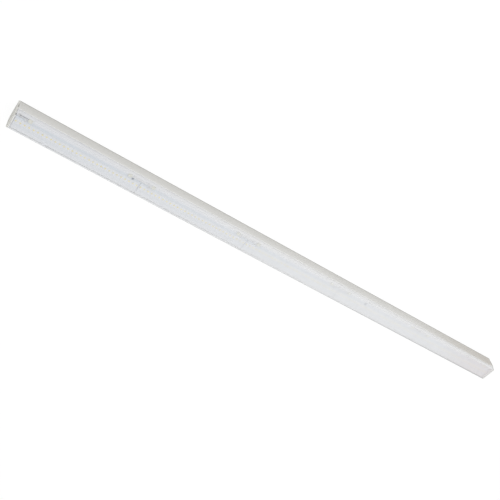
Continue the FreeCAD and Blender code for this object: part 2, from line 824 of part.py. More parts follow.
board_screw = fuse("board_screw", [
    bar("board_screw_top", size("board_screw_head"), size("board_screw_crown"), along_z),
    bar("board_screw_shank", size("board_screw_radius"), size("board_screw_length"), along_z,
        zero, zero, -size("board_screw_length")),
])
keep_copies("board_screws", [
    (board_screw, (middle + place, screw_line, board_top))
    for middle in board_middles
    for place in screw_places
])

# Bushing in the tray's slot, with the leads that come up through it

bushing_low = tray_under - size("bushing_rim")
bushing_high = tray_top + size("bushing_rim")


def around_rise(half_x, half_y):
    return (rise_place - half_x, rise_place + half_x), (rise_line - half_y, rise_line + half_y)


bushing_sleeve = around_rise(slot_half - size("bushing_play"), slot_reach - size("bushing_play"))
bushing_flange = around_rise(slot_half + size("bushing_rim"), bushing_rim_reach)
bushing_space = around_rise(slot_half - size("bushing_play") - size("bushing_wall"), bushing_hole)
bushing_blank = fuse("bushing_blank", [
    block("bushing_sleeve", *bushing_sleeve, (bushing_low, bushing_high)),
    block("bushing_flange", *bushing_flange, (tray_top, bushing_high)),
])
bushing_cut = block("bushing_space", *bushing_space, (bushing_low, bushing_high))
keep(cut("wire_bushing", bushing_blank, [bushing_cut]), "wire_bushing")
lead_end = board_middles[0] + near_start + size("socket_depth")
lead_level = collar_end - size("lead_drop")
lead_exit = driver_half - size("lead_inset")
for label, line in zip(("lead_wire_positive", "lead_wire_negative"), wire_lines):
    exit_line = lead_exit - outer_wire + line
    keep_wire(label, [
        point(driver_near, exit_line, lead_level),
        point(driver_near - size("lead_jog"), exit_line, lead_level),
        point(driver_near - size("lead_jog") * 2, line, lead_level),
        point(rise_place, line, lead_level),
        point(rise_place, line, wire_level),
        point(lead_end, line, wire_level),
    ], size("wire_radius").value, size("wire_bend").value)

# Driver, hung from the tray's collars by its end flanges

driver = new_body("driver")
profile = sketch_on(driver, "driver_profile", "XZ_Plane")
add_outline(profile, [
    (driver_near, driver_low),
    (driver_far, driver_low),
    (driver_far, flange_low),
    (driver_far + size("driver_flange"), flange_low),
    (driver_far + size("driver_flange"), collar_end),
    (driver_near - size("driver_flange"), collar_end),
    (driver_near - size("driver_flange"), flange_low),
    (driver_near, flange_low),
])
pad(driver, profile, driver_half * 2, "Symmetric")
gear_hole = size("gear_screw_radius") + size("screw_play")
flange_holes = sketch_on(driver, "driver_holes", "XY_Plane")
for across, up in flange_places:
    add_small_round(flange_holes, across, up, gear_hole)
drilled_driver = cut_through(driver, flange_holes)
case_edges = lengthwise_at(both_sides(driver_half, driver_low))
round_edges(driver, drilled_driver, size("driver_edge"), case_edges)

# Terminal block, hung from the tray by its ears

terminal_half = size("terminal_width") / 2
ear_half = size("ear_width") / 2
terminal_blank = fuse("terminal_blank", [
    block("terminal_body", (terminal_near, terminal_far), (-terminal_half, terminal_half),
          (terminal_low, collar_end)),
    block("terminal_ears", (terminal_near - size("ear_length"), terminal_far + size("ear_length")),
          (-ear_half, ear_half), (flange_low, collar_end)),
])
terminal_holes = []
clamp_hole = size("clamp_radius") + size("clamp_play")
clamp_places = [terminal_near + size("clamp_inset"), terminal_far - size("clamp_inset")]
pole_starts = [terminal_near, terminal_far - size("pole_depth")]
for number, line in enumerate(pole_lines, start=1):
    for side, start, place in zip(("near", "far"), pole_starts, clamp_places):
        name = "%s_%d" % (side, number)
        terminal_holes.append(bar("pole_" + name, size("pole_radius"), size("pole_depth"), along_x,
                                  start, line, pole_level))
        terminal_holes.append(bar("clamp_" + name, clamp_hole, pole_level - terminal_low, along_z,
                                  place, line, terminal_low))
for number, (across, up) in enumerate(ear_places, start=1):
    terminal_holes.append(bar("ear_hole_%d" % number, gear_hole, size("flange_thickness"), along_z,
                              across, up, flange_low))
keep(cut("terminal_block", terminal_blank, terminal_holes), "terminal_block")
clamp_low = terminal_low + size("clamp_sink")
clamp_high = pole_level - size("mains_radius")
clamp_screw = bar("clamp_screw", size("clamp_radius"), clamp_high - clamp_low, along_z)
keep_copies("clamp_screws", [
    (clamp_screw, (place, line, clamp_low)) for place in clamp_places for line in pole_lines
])

# Mains wires from the terminals to the driver

mains_end = terminal_near + size("pole_depth")
for label, line in (("live_wire", pole_lines[2]), ("neutral_wire", pole_lines[1])):
    wire = bar(label, size("mains_radius"), mains_end - driver_far, along_x, driver_far, line, pole_level)
    keep(wire, label)

# Earth lug on the tray, with its wire from the earth terminal

barrel_level = collar_end - size("lug_thickness") / 2
barrel_start = earth_place + size("lug_radius") - size("lug_overlap")
barrel_end = barrel_start + size("barrel_length")
lug_blank = fuse("lug_blank", [
    rod("lug_ring", size("lug_radius"), size("lug_thickness"), along_z, earth_place, earth_line, lug_low),
    bar("lug_barrel", size("barrel_radius"), size("barrel_length"), along_x,
        barrel_start, earth_line, barrel_level),
])
keep(cut("earth_lug", lug_blank, [
    rod("lug_hole", gear_hole, size("lug_thickness"), along_z, earth_place, earth_line, lug_low),
    bar("barrel_bore", size("mains_radius") + size("socket_play"), size("barrel_depth"), along_x,
        barrel_end - size("barrel_depth"), earth_line, barrel_level),
]), "earth_lug")
slope_start = terminal_near - size("earth_slope")
slope_end = slope_start - (barrel_level - pole_level)
keep_wire("earth_wire", [
    point(mains_end, earth_line, pole_level),
    point(slope_start, earth_line, pole_level),
    point(slope_end, earth_line, barrel_level),
    point(barrel_end - size("barrel_depth"), earth_line, barrel_level),
], size("mains_radius").value, size("wire_bend").value)

# Screws that hold the driver, the terminal block and the earth lug

gear_screw = fuse("gear_screw", [
    bar("gear_screw_top", size("gear_screw_head"), size("gear_screw_crown"), along_z,
        zero, zero, -size("gear_screw_crown")),
    bar("gear_screw_shank", size("gear_screw_radius"), size("gear_screw_length"), along_z),
])
keep_copies("gear_screws",
            [(gear_screw, (across, up, flange_low)) for across, up in flange_places + ear_places]
            + [(gear_screw, (earth_place, earth_line, lug_low))])

# Check everything, then write one file for each sub-part

doc.recompute()
for feature in doc.Objects:
    if "Invalid" in feature.State or "Error" in feature.State:
        raise RuntimeError("%s failed: %s" % (feature.Name, feature.State))
for node in nodes:
    if node.Shape.isNull() or not node.Shape.isValid():
        raise RuntimeError("%s has no valid shape" % node.Label)
os.makedirs("parts", exist_ok=True)
for node in nodes:
    node.Shape.exportStep("parts/%s.step" % node.Label)
    print("%s: %d solids, %.1f mm3" % (node.Label, len(node.Shape.Solids), node.Shape.Volume))
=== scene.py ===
import math

import bmesh
import bpy
from mathutils import Matrix, Quaternion, Vector


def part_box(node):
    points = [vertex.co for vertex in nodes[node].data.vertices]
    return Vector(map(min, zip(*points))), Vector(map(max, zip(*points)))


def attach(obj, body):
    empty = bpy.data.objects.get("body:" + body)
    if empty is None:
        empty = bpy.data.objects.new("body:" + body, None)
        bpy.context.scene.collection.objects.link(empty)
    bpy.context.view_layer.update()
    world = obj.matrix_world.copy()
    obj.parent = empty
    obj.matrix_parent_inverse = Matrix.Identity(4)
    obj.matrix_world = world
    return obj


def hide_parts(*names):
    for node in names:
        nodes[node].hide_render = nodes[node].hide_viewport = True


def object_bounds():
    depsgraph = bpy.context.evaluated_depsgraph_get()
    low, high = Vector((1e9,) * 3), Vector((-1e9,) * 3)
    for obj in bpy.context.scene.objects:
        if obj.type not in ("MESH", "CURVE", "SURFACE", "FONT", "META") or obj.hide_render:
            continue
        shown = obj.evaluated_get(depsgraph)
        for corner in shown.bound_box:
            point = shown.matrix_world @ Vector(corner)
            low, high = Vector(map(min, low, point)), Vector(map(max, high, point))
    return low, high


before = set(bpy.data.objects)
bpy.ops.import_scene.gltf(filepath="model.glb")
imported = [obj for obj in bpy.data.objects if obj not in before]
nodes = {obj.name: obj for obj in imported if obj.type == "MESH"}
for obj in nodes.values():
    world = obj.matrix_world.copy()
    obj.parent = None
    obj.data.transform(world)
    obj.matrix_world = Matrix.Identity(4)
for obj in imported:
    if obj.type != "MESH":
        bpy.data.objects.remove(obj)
cadLow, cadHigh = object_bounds()
mm = 0.001
boards = range(1, 6)
print("frame loaded:", len(nodes), "nodes")


def metres(value):
    # takes millimetres: a number, or a dictionary, list or tuple of numbers
    if isinstance(value, dict):
        return {key: metres(part) for key, part in value.items()}
    if isinstance(value, (list, tuple)):
        return [metres(part) for part in value]
    return value * mm


# node helpers

def addNode(tree, kind, inputs=None, **props):
    node = tree.nodes.new(kind)
    for key, value in props.items():
        setattr(node, key, value)
    for key, value in (inputs or {}).items():
        if isinstance(value, bpy.types.NodeSocket):
            tree.links.new(value, node.inputs[key])
        else:
            node.inputs[key].default_value = value
    return node


def calc(tree, operation, first, second=0.0, third=0.0, clamp=False):
    values = {0: first, 1: second, 2: third}
    return addNode(tree, "ShaderNodeMath", values, operation=operation, use_clamp=clamp).outputs[0]


def mixColour(tree, factor, first, second):
    # colours that come from no node are given without alpha
    values = {0: factor}
    for index, value in ((6, first), (7, second)):
        values[index] = value if isinstance(value, bpy.types.NodeSocket) else (*value, 1.0)
    return addNode(tree, "ShaderNodeMix", values, data_type="RGBA").outputs[2]


def spread(tree, value, low, high, toLow, toHigh):
    names = {"Value": value, "From Min": low, "From Max": high, "To Min": toLow, "To Max": toHigh}
    return addNode(tree, "ShaderNodeMapRange", names).outputs[0]


def rise(tree, value, low, high):
    return spread(tree, value, low, high, 0.0, 1.0)


def fall(tree, value, low, high):
    return spread(tree, value, low, high, 1.0, 0.0)


def fromMiddle(tree, turns):
    # distance from the middle of each whole turn
    return calc(tree, "ABSOLUTE", calc(tree, "SUBTRACT", calc(tree, "FRACT", turns), 0.5))


def objectPlace(tree):
    return addNode(tree, "ShaderNodeTexCoord").outputs["Object"]


def surfaceNormal(tree):
    return addNode(tree, "ShaderNodeNewGeometry").outputs["Normal"]


def axesOf(tree, vector):
    return addNode(tree, "ShaderNodeSeparateXYZ", {0: vector}).outputs


def noise(tree, vector, scale, detail):
    inputs = {"Vector": vector, "Scale": scale, "Detail": detail}
    return addNode(tree, "ShaderNodeTexNoise", inputs).outputs["Fac"]


def newGroup(name, inputs, outputs):
    tree = bpy.data.node_groups.new(name, "ShaderNodeTree")
    for label, value in inputs.items():
        socket = tree.interface.new_socket(name=label, in_out="INPUT", socket_type="NodeSocketFloat")
        socket.default_value = value
    for label in outputs:
        tree.interface.new_socket(name=label, in_out="OUTPUT", socket_type="NodeSocketFloat")
    return tree, tree.nodes.new("NodeGroupInput").outputs, tree.nodes.new("NodeGroupOutput").inputs


def useGroup(tree, group, **values):
    return addNode(tree, "ShaderNodeGroup", values, node_tree=group).outputs


# effects that several finishes share; lengths are in metres

effectShape = {"grainDetail": 2.0, "cloudDetail": 4.0, "cloudBand": (0.3, 0.7),
               "lineDetail": 3.0, "lineBand": (0.42, 0.72),
               "dustDetail": 6.0, "dustBand": (0.4, 0.75), "dustFacing": (-0.2, 0.9), "dustLeast": 0.25,
               "edgeMaskSamples": 4, "edgeMaskBand": (0.99, 0.8),
               "grooveBand": (0.16, 0.3), "rimBand": (0.0021, 0.0024), "insideBand": (0.0027, 0.0029)}


def makeGrainGroup(shape):
    tree, given, out = newGroup("Fine Grain", {"Scale": 1500.0, "Cloud": 12.0}, ["Height", "Mask"])
    place = objectPlace(tree)
    cloud = noise(tree, place, given["Cloud"], shape["cloudDetail"])
    tree.links.new(noise(tree, place, given["Scale"], shape["grainDetail"]), out["Height"])
    tree.links.new(rise(tree, cloud, *shape["cloudBand"]), out["Mask"])
    return tree


def makeDrawGroup(shape):
    # faint lines along the light, left by the die
    tree, given, out = newGroup("Draw Lines", {"Fineness": 900.0, "Stretch": 0.004}, ["Height", "Mask"])
    squeeze = addNode(tree, "ShaderNodeCombineXYZ", {"X": given["Stretch"], "Y": 1.0, "Z": 1.0}).outputs[0]
    thin = addNode(tree, "ShaderNodeVectorMath", {0: objectPlace(tree), 1: squeeze}, operation="MULTIPLY")
    line = noise(tree, thin.outputs[0], given["Fineness"], shape["lineDetail"])
    tree.links.new(line, out["Height"])
    tree.links.new(rise(tree, line, *shape["lineBand"]), out["Mask"])
    return tree


def makeDustGroup(shape):
    # settles on faces that look up, in soft patches
    tree, given, out = newGroup("Soft Dust", {"Patch": 25.0, "Amount": 0.3}, ["Mask"])
    patch = noise(tree, objectPlace(tree), given["Patch"], shape["dustDetail"])
    up = axesOf(tree, surfaceNormal(tree))["Z"]
    facing = spread(tree, up, *shape["dustFacing"], shape["dustLeast"], 1.0)
    settled = calc(tree, "MULTIPLY", rise(tree, patch, *shape["dustBand"]), facing)
    tree.links.new(calc(tree, "MULTIPLY", settled, given["Amount"]), out["Mask"])
    return tree


def makeEdgeWearAndShadeGroup(shape):
    # picks out edges and creases by bending the normal over a small radius; the colour put there is wear on
    # some finishes, and painted shade or a painted highlight on the housing and the caps
    tree, given, out = newGroup("Edge Wear And Shade", {"Reach": 0.0005, "Amount": 0.5}, ["Mask"])
    soft = addNode(tree, "ShaderNodeBevel", {"Radius": given["Reach"]}, samples=shape["edgeMaskSamples"])
    pair = {0: soft.outputs[0], 1: surfaceNormal(tree)}
    same = addNode(tree, "ShaderNodeVectorMath", pair, operation="DOT_PRODUCT").outputs["Value"]
    edgeWearAndShade = rise(tree, same, *shape["edgeMaskBand"])
    tree.links.new(calc(tree, "MULTIPLY", edgeWearAndShade, given["Amount"]), out["Mask"])
    return tree


def makeRibGroup(shape):
    # a mask for painted shade in the grooves of an end cap, and a mask for the faces inside the fitting,
    # which get painted light
    tree, given, out = newGroup("End Ribs", {"Pitch": 3.3, "Outer": 0.6, "Base": 0.01}, ["Groove", "Inside"])
    axes = axesOf(tree, objectPlace(tree))
    turns = calc(tree, "DIVIDE", calc(tree, "MULTIPLY", axes["Y"], 1 / mm), given["Pitch"])
    groove = fall(tree, fromMiddle(tree, turns), *shape["grooveBand"])
    inward = calc(tree, "SUBTRACT", given["Outer"], calc(tree, "ABSOLUTE", axes["X"]))
    groove = calc(tree, "MULTIPLY", groove, fall(tree, inward, *shape["rimBand"]))
    above = calc(tree, "GREATER_THAN", axes["Z"], given["Base"])
    tree.links.new(calc(tree, "MULTIPLY", groove, above), out["Groove"])
    tree.links.new(rise(tree, inward, *shape["insideBand"]), out["Inside"])
    return tree


grainGroup = makeGrainGroup(effectShape)
drawGroup = makeDrawGroup(effectShape)
dustGroup = makeDustGroup(effectShape)
edgeWearAndShadeGroup = makeEdgeWearAndShadeGroup(effectShape)
ribGroup = makeRibGroup(effectShape)
print("shared effects built")


# finishes; lengths are in metres where no note says otherwise

dustTone = (0.62, 0.60, 0.56)
bumpDeep = 0.0001


def newFinish(name):
    material = bpy.data.materials.new(name)
    material.use_nodes = True
    tree = material.node_tree
    return material, tree, tree.nodes["Principled BSDF"]


def setBump(tree, shader, height, strength):
    bump = addNode(tree, "ShaderNodeBump", {"Height": height, "Strength": strength, "Distance": bumpDeep})
    tree.links.new(bump.outputs[0], shader.inputs["Normal"])


def addPaintedShadeAndHighlight(tree, tone, look):
    # painted shade: darker towards the back, a dark band along the back edge of the sides, and darker and
    # warmer towards the far end; the edges near the lip get a painted highlight
    axes = axesOf(tree, objectPlace(tree))
    up = axes["Z"]
    tone = mixColour(tree, fall(tree, up, 0.0, look["backShadeUp"]), tone, look["backShade"])
    farShade = spread(tree, axes["X"], *look["farShadeFrom"], 0.0, look["farShade"])
    tone = mixColour(tree, farShade, tone, look["farShadeTone"])
    facing = calc(tree, "ABSOLUTE", axesOf(tree, surfaceNormal(tree))["Z"])
    foot = calc(tree, "MULTIPLY", spread(tree, up, *look["footBand"], look["foot"], 0.0),
                fall(tree, facing, *look["footFacing"]))
    wornAndShaded = mixColour(tree, rise(tree, up, *look["lipBand"]), look["edge"], look["lip"])
    return mixColour(tree, foot, tone, look["edge"]), wornAndShaded


def addGrooveShadeAndInnerLight(tree, tone, look):
    # painted shade darkens the grooves, and painted light makes the faces inside the fitting paler
    ribs = useGroup(tree, ribGroup, Pitch=capShape["pitch"], Outer=cadHigh.x, Base=ribBase)
    shadedGrooves = mixColour(tree, calc(tree, "MULTIPLY", ribs["Groove"], look["grooveShade"]), tone, look["edge"])
    return mixColour(tree, ribs["Inside"], shadedGrooves, look["inner"])


def makeFinish(name, look):
    material, tree, shader = newFinish(name)
    grain = useGroup(tree, grainGroup, Scale=look["grain"], Cloud=look["cloud"])
    dust = useGroup(tree, dustGroup, Patch=look["patch"], Amount=look["dust"])
    edge = useGroup(tree, edgeWearAndShadeGroup, Reach=look["reach"], Amount=look["edgeWearAndShade"])
    tone = mixColour(tree, grain["Mask"], look["colour"], look["shade"])
    wornAndShaded = look["edge"]
    if "backShade" in look:
        tone, wornAndShaded = addPaintedShadeAndHighlight(tree, tone, look)
    # on the housing and the caps this is painted shade along the edges, with a painted highlight on the
    # housing's lip
    tone = mixColour(tree, edge["Mask"], tone, wornAndShaded)
    tone = mixColour(tree, dust["Mask"], tone, dustTone)
    if "grooveShade" in look:
        tone = addGrooveShadeAndInnerLight(tree, tone, look)
    tree.links.new(tone, shader.inputs["Base Color"])
    soiled = calc(tree, "ADD", grain["Mask"], dust["Mask"])
    tree.links.new(spread(tree, soiled, 0.0, look["soilSpan"], *look["rough"]), shader.inputs["Roughness"])
    height = grain["Height"]
    if "drawn" in look:
        lines = useGroup(tree, drawGroup, Fineness=look["drawn"])
        height = calc(tree, "MULTIPLY_ADD", lines["Height"], look["drawnShare"], height)
    setBump(tree, shader, height, look["bump"])
    shader.inputs["Metallic"].default_value = look["metal"]
    return material


# the end caps' ribs, tongue, notch and side recess in millimetres; their finish follows the ribs
capShape = {"pitch": 3.3, "count": 10, "half": 0.7, "deep": 0.35, "bevel": 0.8, "rim": 2.4, "ribsAbove": 1.2,
            "tongueAt": 4.0, "tongueTo": 4.65, "weld": 0.001, "pick": 0.01,
            "notchAt": (4.2, 12.4, 2.5), "notch": (2.4, 4.0, 4.0),
            "recessAt": (2.3, 18.0), "recess": (1.5, 2.8, 12.0)}
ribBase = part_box("end_cap_screws")[1].z + capShape["ribsAbove"] * mm

finishBase = {"cloud": 12.0, "patch": 25.0, "reach": 0.0005, "edgeWearAndShade": 0.3, "metal": 0.0, "soilSpan": 1.2}
insulation = {"grain": 3000.0, "rough": (0.3, 0.42), "bump": 0.08, "dust": 0.04}
mainsWire = dict(insulation, rough=(0.32, 0.45))
connector = {"grain": 3200.0, "cloud": 60.0, "dust": 0.04}
steel = {"grain": 3500.0, "cloud": 250.0, "bump": 0.15, "metal": 1.0}
finishLooks = {
    # the housing's dark edge colour is painted shade along its edges and the back edge of its sides, its lip
    # colour is a painted highlight, and it is painted darker towards the back and the far end
    "housingPaint": {"colour": (0.82, 0.815, 0.79), "shade": (0.80, 0.795, 0.77), "edge": (0.42, 0.415, 0.40),
                     "lip": (0.90, 0.90, 0.89), "lipBand": (0.01, 0.02), "backShade": (0.70, 0.69, 0.655),
                     "backShadeUp": 0.028, "foot": 0.85, "footBand": (0.0012, 0.0042), "footFacing": (0.3, 0.9),
                     "farShadeTone": (0.62, 0.585, 0.53), "farShadeFrom": (0.33, 0.58), "farShade": 0.9,
                     "grain": 1400.0, "rough": (0.36, 0.48), "bump": 0.22, "drawn": 500.0, "drawnShare": 0.5,
                     "dust": 0.08, "reach": 0.0016, "edgeWearAndShade": 0.9},
    # the cap's dark edge colour is painted shade along its edges, and its inner colour is painted light
    # inside the fitting
    "capPlastic": {"colour": (0.85, 0.845, 0.80), "shade": (0.81, 0.805, 0.76), "edge": (0.40, 0.395, 0.38),
                   "grain": 2600.0, "rough": (0.42, 0.55), "bump": 0.18, "dust": 0.1, "reach": 0.0012,
                   "edgeWearAndShade": 0.12, "grooveShade": 0.25, "inner": (0.92, 0.92, 0.91)},
    "trayPaint": {"colour": (0.80, 0.815, 0.85), "shade": (0.77, 0.785, 0.82), "edge": (0.70, 0.70, 0.70),
                  "grain": 1800.0, "rough": (0.3, 0.42), "bump": 0.15, "dust": 0.05},
    "ledBody": {"colour": (0.90, 0.90, 0.87), "shade": (0.86, 0.86, 0.82), "edge": (0.93, 0.93, 0.91),
                "grain": 5000.0, "rough": (0.3, 0.4), "bump": 0.05, "dust": 0.02},
    "ledPhosphor": {"colour": (0.92, 0.78, 0.27), "shade": (0.88, 0.73, 0.21), "edge": (0.94, 0.84, 0.42),
                    "grain": 9000.0, "cloud": 400.0, "rough": (0.22, 0.38), "bump": 0.12, "dust": 0.0},
    "solderTin": {"colour": (0.72, 0.72, 0.71), "shade": (0.62, 0.62, 0.60), "edge": (0.80, 0.80, 0.80),
                  "grain": 4000.0, "cloud": 300.0, "rough": (0.25, 0.45), "bump": 0.2, "metal": 1.0,
                  "dust": 0.0},
    "connectorPlastic": dict(connector, colour=(0.77, 0.765, 0.67), shade=(0.73, 0.725, 0.62),
                             edge=(0.70, 0.70, 0.62), rough=(0.4, 0.52), bump=0.12),
    "connectorButton": dict(connector, colour=(0.80, 0.80, 0.74), shade=(0.76, 0.76, 0.69),
                            edge=(0.85, 0.85, 0.80), rough=(0.38, 0.5), bump=0.1),
    "jumperInsulation": dict(insulation, colour=(0.90, 0.90, 0.90), shade=(0.86, 0.86, 0.87),
                             edge=(0.90, 0.90, 0.91)),
    "leadInsulation": dict(insulation, colour=(0.44, 0.45, 0.49), shade=(0.40, 0.41, 0.45),
                           edge=(0.50, 0.51, 0.55)),
    "liveInsulation": dict(mainsWire, colour=(0.20, 0.09, 0.045), shade=(0.16, 0.07, 0.035),
                           edge=(0.28, 0.15, 0.09)),
    "neutralInsulation": dict(mainsWire, colour=(0.05, 0.16, 0.45), shade=(0.04, 0.13, 0.38),
                              edge=(0.12, 0.25, 0.55)),
    "bushingPlastic": {"colour": (0.80, 0.80, 0.79), "shade": (0.76, 0.76, 0.75), "edge": (0.86, 0.86, 0.85),
                       "grain": 3000.0, "rough": (0.4, 0.5), "bump": 0.1, "dust": 0.04},
    "zincSteel": dict(steel, colour=(0.92, 0.925, 0.93), shade=(0.85, 0.855, 0.86), edge=(0.94, 0.94, 0.935),
                      rough=(0.34, 0.5), dust=0.03),
    # a painted dark reflection, given as a dark steel colour
    "darkReflectionSteel": dict(steel, colour=(0.30, 0.35, 0.42), shade=(0.25, 0.30, 0.37), edge=(0.40, 0.44, 0.50),
                      rough=(0.3, 0.46), dust=0.02),
    "grommetRubber": {"colour": (0.035, 0.035, 0.036), "shade": (0.05, 0.05, 0.05),
                      "edge": (0.09, 0.09, 0.09), "grain": 2200.0, "cloud": 80.0, "rough": (0.6, 0.78),
                      "bump": 0.25, "dust": 0.12},
    "driverCase": {"colour": (0.82, 0.82, 0.81), "shade": (0.78, 0.78, 0.77), "edge": (0.87, 0.87, 0.86),
                   "grain": 1600.0, "rough": (0.45, 0.58), "bump": 0.25, "dust": 0.06},
    "terminalPlastic": {"colour": (0.80, 0.79, 0.73), "shade": (0.76, 0.75, 0.68), "edge": (0.85, 0.84, 0.80),
                        "grain": 2600.0, "cloud": 60.0, "rough": (0.35, 0.5), "bump": 0.12, "dust": 0.05},
    "tinnedBrass": {"colour": (0.74, 0.72, 0.66), "shade": (0.66, 0.62, 0.52), "edge": (0.80, 0.74, 0.52),
                    "grain": 3500.0, "cloud": 200.0, "rough": (0.28, 0.42), "bump": 0.12, "metal": 1.0,
                    "dust": 0.03},
}
# the far cap is a shaded copy of the cap plastic: darker all over, with more painted shade along its edges
# and in its grooves
finishLooks["capPlasticShaded"] = dict(finishLooks["capPlastic"], colour=(0.76, 0.755, 0.71),
                                     shade=(0.72, 0.715, 0.67), edgeWearAndShade=0.95, grooveShade=0.5)
finishes = {name: makeFinish(name, {**finishBase, **look}) for name, look in finishLooks.items()}

coverLook = {"colour": (0.84, 0.845, 0.855), "haze": (0.81, 0.815, 0.825), "lineHaze": 0.4,
             "milk": (0.92, 0.92, 0.925), "milkNear": (0.87, 0.88, 0.905), "milkFrom": (-0.5, -0.1),
             "edge": (0.42, 0.42, 0.43), "edgeWide": (0.0002, 0.0028), "edgeBand": (0.6, 1.0),
             "edgeFacing": (0.7, 0.9), "edgeBody": 0.45, "crown": 0.0176, "flankFacing": (0.6, 0.95),
             "farShade": (0.805, 0.77, 0.775), "farShadeFrom": (0.42, 0.54),
             "clear": 0.09, "rim": 0.47, "slant": (0.12, 0.29), "side": (0.05, 0.28),
             "sideFrom": (-0.012, -0.008), "hazeBody": 0.06, "lightPass": 0.85,
             "patch": 40.0, "dust": 0.5, "lines": 420.0, "stretch": 0.002,
             "rough": (0.12, 0.24), "bump": 0.06, "ior": 1.58}


def makeCoverFinish(look):
    material, tree, shader = newFinish("clearCover")
    lines = useGroup(tree, drawGroup, Fineness=look["lines"], Stretch=look["stretch"])
    dust = useGroup(tree, dustGroup, Patch=look["patch"], Amount=look["dust"])
    haze = calc(tree, "MULTIPLY_ADD", lines["Mask"], look["lineHaze"], dust["Mask"], clamp=True)
    axes = axesOf(tree, objectPlace(tree))
    facing = axesOf(tree, surfaceNormal(tree))
    # painted shade: a grey band along one edge of the front, wider towards the far end
    wide = spread(tree, axes["X"], cadLow.x, cadHigh.x, *look["edgeWide"])
    inward = calc(tree, "DIVIDE", calc(tree, "ADD", axes["Y"], look["crown"]), wide)
    edge = calc(tree, "MULTIPLY", fall(tree, inward, *look["edgeBand"]),
                rise(tree, facing["Z"], *look["edgeFacing"]))
    # the sides look milkier than the front; painted shade makes them darker and bluer at the near end
    flank = rise(tree, calc(tree, "ABSOLUTE", facing["Y"]), *look["flankFacing"])
    milk = mixColour(tree, rise(tree, axes["X"], *look["milkFrom"]), look["milkNear"], look["milk"])
    tone = mixColour(tree, haze, look["colour"], look["haze"])
    # painted shade: the cover darker and warmer towards the far end
    tone = mixColour(tree, rise(tree, axes["X"], *look["farShadeFrom"]), tone, look["farShade"])
    tone = mixColour(tree, flank, tone, milk)
    tree.links.new(mixColour(tree, edge, tone, look["edge"]), shader.inputs["Base Color"])
    tree.links.new(spread(tree, haze, 0.0, 1.0, *look["rough"]), shader.inputs["Roughness"])
    # more body at a slant, on one side, at the painted shade of the edge and in the haze
    slant = addNode(tree, "ShaderNodeLayerWeight", {"Blend": 0.5}).outputs["Facing"]
    body = spread(tree, slant, *look["slant"], look["clear"], look["rim"])
    side = spread(tree, axes["Y"], *look["sideFrom"], *look["side"])
    body = calc(tree, "MULTIPLY_ADD", flank, side, body)
    body = calc(tree, "MULTIPLY_ADD", edge, look["edgeBody"], body)
    body = calc(tree, "MULTIPLY_ADD", haze, look["hazeBody"], body, clamp=True)
    # light goes through the plastic more easily than the eye does
    path = addNode(tree, "ShaderNodeLightPath").outputs
    lit = calc(tree, "MAXIMUM", path["Is Shadow Ray"], path["Is Diffuse Ray"])
    alpha = calc(tree, "MULTIPLY", body, spread(tree, lit, 0.0, 1.0, 1.0, 1.0 - look["lightPass"]))
    tree.links.new(alpha, shader.inputs["Alpha"])
    setBump(tree, shader, lines["Height"], look["bump"])
    shader.inputs["IOR"].default_value = look["ior"]
    return material


# each board's row of LEDs, in millimetres; the copper between them has the same pitch
ledRow = {"long": 3.5, "count": 30}


def ledStep(number):
    low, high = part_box("leds_%d" % number)
    return (high.x - low.x - ledRow["long"] * mm) / (ledRow["count"] - 1)


# places and widths across the board are in millimetres
boardLook = {"mask": (0.80, 0.82, 0.85), "cloudy": (0.78, 0.80, 0.835), "cloud": 35.0,
             "patch": 30.0, "dust": 0.06,
             "trace": (0.67, 0.72, 0.78), "traceAt": 8.0, "traceHalf": 2.6, "traceSoft": 0.12,
             "traceLess": 0.35, "lessFrom": (-1.0, 1.0),
             "gap": (0.60, 0.65, 0.71), "gapShare": 0.7, "slitBand": (0.04, 0.055), "padHalf": 5.2,
             "padSoft": 0.1, "rimOut": 0.25, "rimBand": (0.2, 0.3), "pitch": ledStep(1) / mm,
             "rough": (0.3, 0.42), "grain": 2200.0, "grainShare": 0.4, "bump": 0.1}


def makeBoardFinish(look):
    # copper shows through the solder mask as wide runs beside the LEDs and pads between them
    material, tree, shader = newFinish("boardMask")
    grain = useGroup(tree, grainGroup, Scale=look["grain"], Cloud=look["cloud"])
    dust = useGroup(tree, dustGroup, Patch=look["patch"], Amount=look["dust"])
    axes = axesOf(tree, objectPlace(tree))
    side = calc(tree, "MULTIPLY", axes["Y"], 1 / mm)
    across = calc(tree, "ABSOLUTE", side)

    def near(place, low, high):
        return fall(tree, calc(tree, "ABSOLUTE", calc(tree, "SUBTRACT", across, place)), low, high)

    half, soft = look["traceHalf"], look["traceSoft"]
    run = near(look["traceAt"], half - soft, half + soft)
    pad, soft = look["padHalf"], look["padSoft"]
    along = calc(tree, "MULTIPLY", axes["X"], 1 / mm / look["pitch"])
    slits = calc(tree, "MULTIPLY", fall(tree, fromMiddle(tree, along), *look["slitBand"]),
                 fall(tree, across, pad - soft, pad + soft))
    gaps = calc(tree, "MAXIMUM", slits, near(pad + look["rimOut"], *look["rimBand"]))
    # the run on the low Y side is paler
    paler = spread(tree, side, *look["lessFrom"], look["traceLess"], 1.0)
    tone = mixColour(tree, grain["Mask"], look["mask"], look["cloudy"])
    tone = mixColour(tree, calc(tree, "MULTIPLY", run, paler), tone, look["trace"])
    tone = mixColour(tree, calc(tree, "MULTIPLY", gaps, look["gapShare"]), tone, look["gap"])
    tree.links.new(mixColour(tree, dust["Mask"], tone, dustTone), shader.inputs["Base Color"])
    tree.links.new(spread(tree, grain["Mask"], 0.0, 1.0, *look["rough"]), shader.inputs["Roughness"])
    raised = calc(tree, "SUBTRACT", calc(tree, "MULTIPLY", grain["Height"], look["grainShare"]), gaps)
    setBump(tree, shader, raised, look["bump"])
    return material


